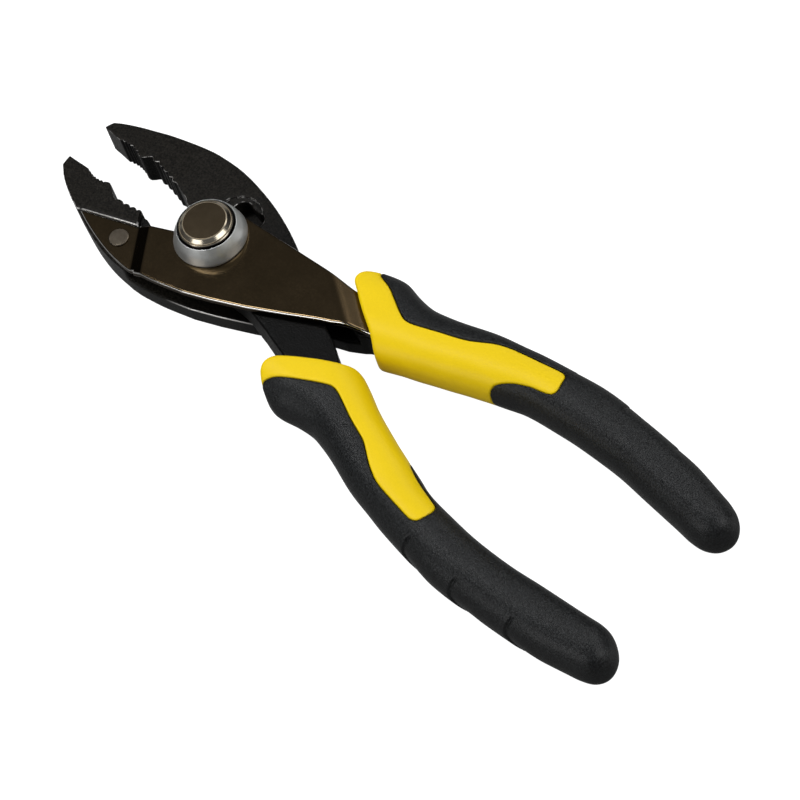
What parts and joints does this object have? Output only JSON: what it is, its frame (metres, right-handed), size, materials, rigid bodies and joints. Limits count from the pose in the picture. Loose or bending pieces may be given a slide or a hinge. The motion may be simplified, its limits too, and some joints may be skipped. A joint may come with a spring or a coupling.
{
  "type": "slip-joint combination pliers",
  "caption": "Slip-joint combination pliers with a push-button lock at the pivot, serrated curved jaws, a riveted front plate and two-tone cushioned grips.",
  "frame": {"origin": "the pivot axis at the flat back end of the pivot, flush with the back of the joint", "axes": "+X from the jaws to the handle ends, +Y toward the moving jaw and the fixed grip, +Z out of the push button"},
  "size_m": [0.199, 0.061, 0.0216],
  "materials": {
    "black_steel": "black oxide forging with a faint grain",
    "black_nickel": "dark bronze black nickel, polished with fine brushing",
    "rivet_steel": "grey-brown turned steel",
    "pin_steel": "turned steel",
    "spring_steel": "drawn spring wire",
    "satin_zinc": "satin silver",
    "yellow_plastic": "moulded, fine matte grain",
    "black_rubber": "moulded, fine matte grain"
  },
  "bodies": {
    "fixed_half": {"fixed_jaw": "black_steel", "front_plate": "black_nickel", "jaw_rivet": "rivet_steel", "tail_rivet_front": "rivet_steel", "tail_rivet_rear": "rivet_steel", "fixed_grip_core": "yellow_plastic", "fixed_grip_cover": "black_rubber"},
    "pivot_lock": {"pivot_barrel": "pin_steel", "pivot_collar": "satin_zinc", "retaining_ring": "spring_steel"},
    "moving_half": {"moving_jaw": "black_steel", "moving_grip_core": "yellow_plastic", "moving_grip_cover": "black_rubber"},
    "button": {"push_button": "black_nickel", "button_stem": "pin_steel", "cross_pin": "pin_steel", "lock_key": "pin_steel", "button_spring": "spring_steel"}
  },
  "joints": [
    {"name": "jaw_pivot", "type": "hinge", "parent": "fixed_half", "child": "pivot_lock", "pos_m": [0, 0, 0], "axis": [0, 0, 1], "range_deg": [-22, 4.8]},
    {"name": "slip_adjust", "type": "slide", "parent": "pivot_lock", "child": "moving_half", "axis": [-0.0872, -0.9962, 0], "range_m": [0, 0.007]},
    {"name": "button_press", "type": "slide", "parent": "pivot_lock", "child": "button", "axis": [0, 0, -1], "range_m": [0, 0.002], "stiffness_N_per_m": 2000, "springref_m": -0.002, "deforming": ["button_spring"]}
  ]
}
